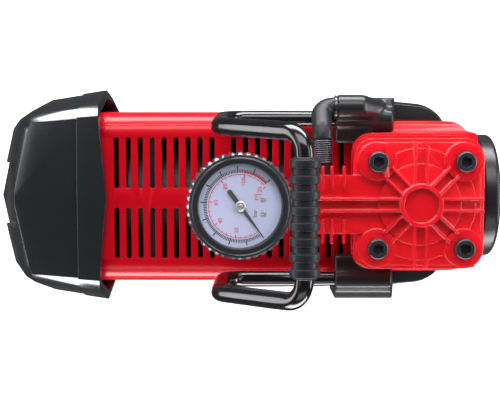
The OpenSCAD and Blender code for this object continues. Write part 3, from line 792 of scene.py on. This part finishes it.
@dataclass
class Hose:
    """The air line and the spring over its root."""

    built: Built
    turns: int = 11
    wire_r: float = 0.5 * MM
    sleeve_gap: float = 0.8 * MM

    def spring(self) -> bpy.types.Object:
        """The spring: a ring of wire carried along a screw.

        Returns:
            The spring, in its place.
        """
        low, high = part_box("spring_guard")
        length, outer = high.y - low.y, (high.z - low.z) / 2
        clear_selection()
        bpy.ops.mesh.primitive_circle_add(
            vertices=8, radius=self.wire_r, fill_type="NOTHING", rotation=(math.pi / 2, 0, 0),
            location=(outer - self.wire_r, 0, self.wire_r),
        )
        obj = bpy.context.object
        obj.name = "spring_guard_skin"
        settle(obj)
        screw = obj.modifiers.new("winding", "SCREW")
        screw.axis = "Z"
        screw.iterations = self.turns
        screw.screw_offset = (length - 2 * self.wire_r) / self.turns
        screw.steps = screw.render_steps = 28
        screw.use_merge_vertices = False
        apply_all(obj)
        bpy.ops.object.mode_set(mode="EDIT")
        bpy.ops.mesh.select_all(action="SELECT")
        bpy.ops.mesh.fill_holes(sides=8)
        bpy.ops.mesh.select_all(action="SELECT")
        bpy.ops.mesh.normals_make_consistent(inside=False)
        bpy.ops.object.mode_set(mode="OBJECT")
        stand(obj, seat_along_y("spring_guard"))
        smooth(obj, 60)
        return obj

    def sleeve(self) -> bpy.types.Object:
        """The dark sleeve inside the spring.

        Returns:
            The sleeve, in its place.
        """
        low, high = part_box("spring_guard")
        length, outer = high.y - low.y, (high.z - low.z) / 2 - self.sleeve_gap
        obj = turned("spring_sleeve", [(0, 0), (outer, 0), (outer, length), (0, length)], 40)
        stand(obj, seat_along_y("spring_guard"))
        smooth(obj, 40)
        return obj

    def build(self) -> None:
        """Builds the line, its spring and the sleeve in the spring."""
        line = finer_copy("air_hose")
        self.built.add(line, HOSE_RUBBER, Body.CASING, "hose_rubber", "air_hose")
        self.built.add(self.spring(), SPRING_STEEL, Body.CASING, "zinc_steel", "spring_guard")
        self.built.add(self.sleeve(), BLACK_SATIN, Body.CASING, "black_plastic")


@dataclass
class Gauge:
    """The pressure gauge: knurled ring, bezel, printed dial, needle and pane."""

    built: Built
    lean: float = math.radians(6)
    teeth: int = 40
    tooth_h: float = 1.15 * MM
    zero: float = -53.5
    sweep: float = 265.5
    bar_marks: int = 10
    psi_marks: int = 6
    psi_step: float = 45.0
    print_h: float = 0.06 * MM
    arc_step: int = 2
    dial_z: float = -2.15 * MM
    pointer_tail: float = -9.9 * MM
    pointer_reach: float = 0.8
    screw_x: float = 11.4 * MM
    screw_ys: tuple[float, float] = (3.2 * MM, -4.0 * MM)

    def __post_init__(self) -> None:
        """Works out the gauge's own frame from its needle's axle and its dial."""
        joint = next(j for j in frame["joints"] if j["name"] == "needle_sweep")
        self.centre = Vector(joint["pos_m"])
        self.here = Matrix.Translation(self.centre) @ Matrix.Rotation(self.lean, 4, "Y")
        low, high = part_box("gauge_bezel")
        self.rim_r = (high.y - low.y) / 2
        low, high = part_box("gauge_lens")
        self.dial_r = (high.y - low.y) / 2
        low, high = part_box("gauge_knurl")
        self.knurl_r = (high.y - low.y) / 2

    def on_gauge(self, obj: bpy.types.Object, turn: float = 0.0) -> bpy.types.Object:
        """Moves a piece made about the origin onto the gauge, turned about its axis."""
        return stand(obj, self.here @ Matrix.Rotation(math.radians(turn), 4, "Z"))

    def knurl(self) -> bpy.types.Object:
        """The grip ring with its beads.

        Returns:
            The ring, in its place.
        """
        inner, outer = self.rim_r + 0.05 * MM, self.knurl_r
        top, bottom = 0.3 * MM, -7.6 * MM
        foot = outer - self.tooth_h
        profile = [(inner, bottom), (foot, bottom), (outer, bottom + 0.8 * MM), (outer, top - 1.6 * MM)]
        profile += [(outer - 0.3 * MM, top - 0.8 * MM), (foot, top - 0.2 * MM)]
        profile += [(foot - 0.1 * MM, top), (inner, top)]
        obj = turned("gauge_knurl_skin", profile, self.teeth * 8, closed=True)
        for vertex in obj.data.vertices:
            flat = Vector((vertex.co.x, vertex.co.y))
            over = flat.length - foot
            if over < 0.05 * MM:
                continue
            swell = abs(math.cos(math.atan2(flat.y, flat.x) * self.teeth / 2)) ** 0.6
            flat *= (foot + over * swell) / flat.length
            vertex.co.x, vertex.co.y = flat
        smooth(obj, 40)
        return self.on_gauge(obj)

    def bezel(self) -> bpy.types.Object:
        """The black ring round the pane, with a step down to the dial.

        Returns:
            The ring, in its place.
        """
        inner, outer = self.dial_r, self.rim_r
        profile = [(inner + 0.1 * MM, -2.2 * MM), (outer, -2.2 * MM), (outer, 0.9 * MM)]
        profile += rounded_corner(outer - 0.8 * MM, 0.8 * MM, 0.8 * MM, 10, 90, 4)
        profile += rounded_corner(inner + 0.9 * MM, 0.9 * MM, 0.7 * MM, 90, 170, 4)
        profile += [(inner + 0.1 * MM, -0.2 * MM)]
        obj = turned("gauge_bezel_skin", profile, 96, closed=True)
        smooth(obj, 40)
        return self.on_gauge(obj)

    def pane(self) -> bpy.types.Object:
        """A slightly domed clear pane.

        Returns:
            The pane, in its place.
        """
        r = self.dial_r - 0.05 * MM
        rise = [(r * i / 8, 0.9 * MM - 0.5 * MM * (i / 8) ** 2) for i in range(9)]
        under = [(r, 0.1 * MM), (0, 0.1 * MM)]
        obj = turned("gauge_pane", rise + under, 64)
        smooth(obj, 40)
        return self.on_gauge(obj)

    def mark(self, inner: float, outer: float, width: float, angle: float) -> bpy.types.Object:
        """One printed mark.

        Args:
            inner: the radius where it begins.
            outer: the radius where it ends.
            width: its width.
            angle: where it lies, in degrees from +X.

        Returns:
            The mark.
        """
        clear_selection()
        bpy.ops.mesh.primitive_cube_add(
            size=1, location=((inner + outer) / 2, 0, self.dial_z + self.print_h / 2),
            scale=(outer - inner, width, self.print_h),
        )
        obj = bpy.context.object
        settle(obj)
        obj.data.transform(Matrix.Rotation(math.radians(angle), 4, "Z"))
        return obj

    def scale_angle(self, share: float) -> float:
        """Where a share of the full scale lies, in degrees from +X; the scale runs clockwise."""
        return self.zero - self.sweep * share

    def arc(self, name: str, radius: float, width: float, start: float, end: float) -> bpy.types.Object:
        """A thin printed arc.

        Args:
            name: its name.
            radius: the radius of its middle.
            width: its width.
            start: the share of the scale where it begins.
            end: the share of the scale where it ends.

        Returns:
            The arc, closed at both ends.
        """
        inner, outer = radius - width / 2, radius + width / 2
        under, over = self.dial_z, self.dial_z + self.print_h
        step = self.arc_step
        low, high = sorted(step * round(self.scale_angle(share) / step) for share in (start, end))
        profile = [(inner, under), (outer, under), (outer, over), (inner, over)]
        steps = (high - low) // step
        obj = turned(name, profile, steps, closed=True, sweep=math.radians(high - low))
        obj.data.transform(Matrix.Rotation(math.radians(high), 4, "Z"))
        return obj

    def number(self, text: str, radius: float, height: float, angle: float) -> bpy.types.Object:
        """One printed word or number, with its top to -X.

        Args:
            text: what it says.
            radius: how far its middle lies from the axle.
            height: the height of its letters.
            angle: where its middle lies, in degrees from +X.

        Returns:
            The print.
        """
        clear_selection()
        bpy.ops.object.text_add(location=(0, 0, 0))
        obj = bpy.context.object
        obj.data.body = text
        obj.data.size = height
        obj.data.align_x = "CENTER"
        obj.data.align_y = "CENTER"
        obj.data.extrude = self.print_h / 2
        obj.data.resolution_u = 2
        take(obj)
        bpy.ops.object.convert(target="MESH")
        obj = bpy.context.object
        spot = Vector((math.cos(math.radians(angle)), math.sin(math.radians(angle)), 0)) * radius
        spot.z = self.dial_z + self.print_h / 2
        obj.data.transform(Matrix.Translation(spot) @ Matrix.Rotation(math.pi / 2, 4, "Z"))
        return obj

    def printing(self) -> None:
        """Black outer scale and red inner scale, with numbers on the red one."""
        size = self.dial_r
        black, red = [], []
        minors = 10 * self.bar_marks
        for i in range(minors + 1):
            long = i % 10 == 0
            reach = (0.965 if long else 0.885) * size
            width = (0.55 if long else 0.42) * MM
            black.append(self.mark(0.805 * size, reach, width, self.scale_angle(i / minors)))
        for i in range(5 * self.psi_marks + 1):
            long = i % 5 == 0
            root = (0.69 if long else 0.725) * size
            width = (0.45 if long else 0.3) * MM
            red.append(self.mark(root, 0.765 * size, width, self.zero - self.psi_step * i / 5))
        red.append(self.arc("inner_line", 0.765 * size, 0.28 * MM, 0, 1))
        red.append(self.arc("limit_band", 0.825 * size, 0.95 * MM, 0.84, 1))
        for i in range(1, self.psi_marks + 1):
            angle = self.zero - self.psi_step * i
            red.append(self.number(str(i * 20), 0.59 * size, 3.0 * MM, angle))
        red.append(self.number("psi", 8.8 * MM, 2.9 * MM, 30))
        black.append(self.number("bar", 8.2 * MM, 2.9 * MM, -27))
        inks = (("dial_marks_black", black, PRINT_BLACK), ("dial_marks_red", red, PRINT_RED))
        for name, parts, finish in inks:
            piece = self.on_gauge(joined(name, parts))
            self.built.add(piece, finish, Body.CASING, "needle_black")

    def pointer_width(self, x: float) -> float:
        """Half the pointer's width; the tail's end is round.

        Args:
            x: the distance from its axle, less than 0 on the tail.

        Returns:
            Half the width there.
        """
        tail, half, tip = self.pointer_tail, 1.15 * MM, self.pointer_reach * self.dial_r
        if x < tail + half:
            return math.sqrt(max(0.0, half**2 - (tail + half - x) ** 2)) + 0.02 * MM
        return half if x < 0 else half + (0.25 * MM - half) * x / tip

    def needle(self) -> bpy.types.Object:
        """The pointer with its wide tail.

        Returns:
            The pointer, in its place.
        """
        tail, tip = self.pointer_tail, self.pointer_reach * self.dial_r
        clear_selection()
        bpy.ops.mesh.primitive_grid_add(x_subdivisions=80, y_subdivisions=1, size=1)
        obj = bpy.context.object
        obj.name = "gauge_pointer"
        for vertex in obj.data.vertices:
            x = tail + (tip - tail) * (vertex.co.x + 0.5)
            vertex.co = Vector((x, 2 * vertex.co.y * self.pointer_width(x), -1.1 * MM))
        thick = obj.modifiers.new("thick", "SOLIDIFY")
        thick.thickness = 0.35 * MM
        thick.offset = -1
        apply_all(obj)
        return self.on_gauge(obj, self.zero)

    def hub(self) -> bpy.types.Object:
        """The bright stepped boss over the pointer's axle.

        Returns:
            The boss, in its place.
        """
        steps = [(0, -0.12), (0.8, -0.12), (0.95, -0.3), (1.75, -0.3), (1.9, -0.1)]
        steps += [(2.3, -0.15), (2.6, -0.4), (2.65, -1.05), (0, -1.05)]
        obj = turned("pointer_hub", [(r * MM, z * MM) for r, z in steps], 40)
        smooth(obj, 30)
        return self.on_gauge(obj)

    def screws(self) -> bpy.types.Object:
        """The two slotted screws that hold the dial.

        Returns:
            Both screws as one piece, in their place.
        """
        low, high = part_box("dial_screws")
        r = (high.y - low.y - self.screw_ys[0] + self.screw_ys[1]) / 2
        heads = []
        for y in self.screw_ys:
            profile = [(0, 0.42 * MM), (0.6 * r, 0.36 * MM), (0.9 * r, 0.2 * MM), (r, 0.0), (0, 0.0)]
            head = turned("dial_screw", profile, 32)
            clear_selection()
            bpy.ops.mesh.primitive_cube_add(
                size=1, location=(0, 0, 0.42 * MM), scale=(3 * r, 0.3 * r, 0.4 * MM)
            )
            blade = bpy.context.object
            slot = head.modifiers.new("slot", "BOOLEAN")
            slot.object = blade
            apply_all(head)
            bpy.data.objects.remove(blade)
            head.data.transform(Matrix.Translation((self.screw_x, y, self.dial_z)))
            heads.append(head)
        obj = joined("dial_screw_heads", heads)
        smooth(obj, 30)
        return self.on_gauge(obj)

    def build(self) -> None:
        """Builds the whole gauge."""
        self.built.add(self.knurl(), GAUGE_GREY, Body.CASING, "gauge_grey", "gauge_knurl")
        self.built.add(self.bezel(), BEZEL_BLACK, Body.CASING, "bezel_black", "gauge_bezel")
        self.built.add(self.pane(), CLEAR_PANE, Body.CASING, "clear_lens", "gauge_lens")
        self.printing()
        self.built.add(self.needle(), PRINT_BLACK, Body.NEEDLE, "needle_black", "gauge_needle")
        self.built.add(self.hub(), ZINC_STEEL, Body.NEEDLE, "zinc_steel", "needle_hub")
        self.built.add(self.screws(), ZINC_STEEL, Body.CASING, "zinc_steel", "dial_screws")


@dataclass
class KeptNodes:
    """The CAD nodes that stay as they are, with their finishes."""

    finishes: dict[str, Finish] = field(
        default_factory=lambda: {
            "black_plastic": BLACK_MOULDED,
            "red_paint": RED_PAINT,
            "red_plastic": SWITCH_RED,
            "zinc_steel": ZINC_STEEL,
            "black_oxide": OXIDE_STEEL,
            "ferrite": DARK_IRON,
            "core_steel": DARK_IRON,
            "copper": COPPER,
            "brass": BRASS,
            "carbon": CARBON,
            "aluminium": CAST_ALUMINIUM,
            "seal_rubber": SOFT_RUBBER,
            "hose_rubber": HOSE_RUBBER,
            "grip_rubber": GRIP_RUBBER,
            "black_enamel": BLACK_ENAMEL,
            "gauge_grey": GAUGE_GREY,
            "bezel_black": BEZEL_BLACK,
            "dial_white": DIAL_WHITE,
            "needle_black": PRINT_BLACK,
            "clear_lens": CLEAR_PANE,
        }
    )
    by_node: dict[str, Finish] = field(
        default_factory=lambda: {
            # motor_can gets dark iron in place of its zinc steel slot: painted shade for the dark inside seen
            # through the housing's slots.
            "motor_can": DARK_IRON,
            "end_bell": DARK_IRON,
            "gauge_stem": OXIDE_STEEL,
        }
    )

    def build(self) -> None:
        """Dresses each node by its slot in the record."""
        for row in frame["record"]["subparts"]:
            obj = frame["nodes"][row["node"]]
            dressed(obj, self.by_node.get(row["node"], self.finishes[row["material_slot"]]))
            LOG.info("node %s in %s", obj.name, row["material_slot"])


# ---------------------------------------------------------------- stage


@dataclass(frozen=True)
class SoftBox:
    """A rectangular light, given by where it stands around the machine and how bright its face is."""

    name: str
    azimuth: float
    elevation: float
    distance: float
    size: tuple[float, float]
    radiance: float

    def place(self) -> Vector:
        """Where the light stands."""
        turn, rise = math.radians(self.azimuth), math.radians(self.elevation)
        flat = self.distance * math.cos(rise)
        return Vector((flat * math.cos(turn), flat * math.sin(turn), self.distance * math.sin(rise)))

    def build(self, aim: Vector) -> None:
        """Adds the light, facing a point."""
        clear_selection()
        bpy.ops.object.light_add(type="AREA", location=aim + self.place())
        lamp = bpy.context.object
        lamp.name = self.name
        lamp.data.shape = "RECTANGLE"
        lamp.data.size, lamp.data.size_y = self.size
        lamp.data.energy = self.radiance * math.pi * self.size[0] * self.size[1]
        lamp.rotation_euler = (-self.place()).to_track_quat("-Z", "Y").to_euler()


@dataclass
class Stage:
    """The floor, the lights and the camera."""

    eye: Vector = field(default_factory=lambda: Vector((2.9 * MM, 45 * MM, 668 * MM)))
    tilt: float = math.radians(4.445)
    lens: float = 79.8
    floor_half: float = 6.0
    floor_glow: float = 0.6
    air: float = 0.1
    boxes: tuple[SoftBox, ...] = (
        SoftBox("north_key", 95, 47, 0.75, (1.0, 0.32), 7.5),
        SoftBox("south_key", -95, 42, 0.9, (1.0, 0.3), 2.4),
        SoftBox("east_key", 10, 38, 0.9, (0.7, 0.3), 3.0),
        SoftBox("west_key", 170, 38, 0.9, (0.7, 0.3), 2.0),
        SoftBox("north_strip", 90, 2, 0.9, (1.5, 0.4), 19.0),
        SoftBox("south_strip", -90, 1, 0.9, (1.5, 0.36), 17.0),
        SoftBox("east_strip", 0, 8, 0.9, (0.8, 0.2), 14.0),
        SoftBox("west_strip", 180, 4, 0.9, (0.8, 0.3), 8.0),
    )

    def floor(self) -> None:
        """A plain pale floor, kept out of reflections so that steep black sides stay black."""
        clear_selection()
        bpy.ops.mesh.primitive_plane_add(size=2 * self.floor_half, location=(0, 0, -0.3 * MM))
        obj = bpy.context.object
        obj.name = "floor"
        made = bpy.data.materials.new("pale_floor")
        graph = Graph(made)
        tone = graph.mix(graph.noise(3.0), (0.86, 0.86, 0.86), (0.9, 0.9, 0.9))
        graph.surface(
            Base_Color=tone,
            Roughness=0.8,
            Emission_Color=(1.0, 1.0, 1.0),
            Emission_Strength=self.floor_glow,
        )
        obj.data.materials.append(made)
        obj.visible_glossy = False

    def camera(self) -> None:
        """A long lens from above, a little to the +Y side."""
        scene = bpy.context.scene
        camera = bpy.data.objects.new("camera", bpy.data.cameras.new("camera"))
        scene.collection.objects.link(camera)
        camera.location = self.eye
        camera.rotation_euler = (-self.tilt, 0, 0)
        camera.data.lens = self.lens
        camera.data.sensor_width = 36
        camera.data.clip_start, camera.data.clip_end = 0.01, 20
        scene.camera = camera

    def build(self) -> None:
        """Sets the stage."""
        self.floor()
        for box in self.boxes:
            box.build(Vector((0, 0, 0.08)))
        world = bpy.data.worlds.new("studio")
        world.use_nodes = True
        world.node_tree.nodes["Background"].inputs[0].default_value = (1, 1, 1, 1)
        world.node_tree.nodes["Background"].inputs[1].default_value = self.air
        bpy.context.scene.world = world
        bpy.context.scene.view_settings.view_transform = "Standard"
        self.camera()


def main() -> None:
    """Builds every sub-assembly in order."""
    logging.basicConfig(level=logging.INFO, format="%(message)s")
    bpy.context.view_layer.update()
    built = Built()
    KeptNodes().build()
    for assembly in (Casings(built), Fasteners(built), Handle(built), Hose(built), Gauge(built)):
        assembly.build()
    Stage().build()
    LOG.info("%d new pieces", len(built.names))


if __name__ == "__main__":
    main()
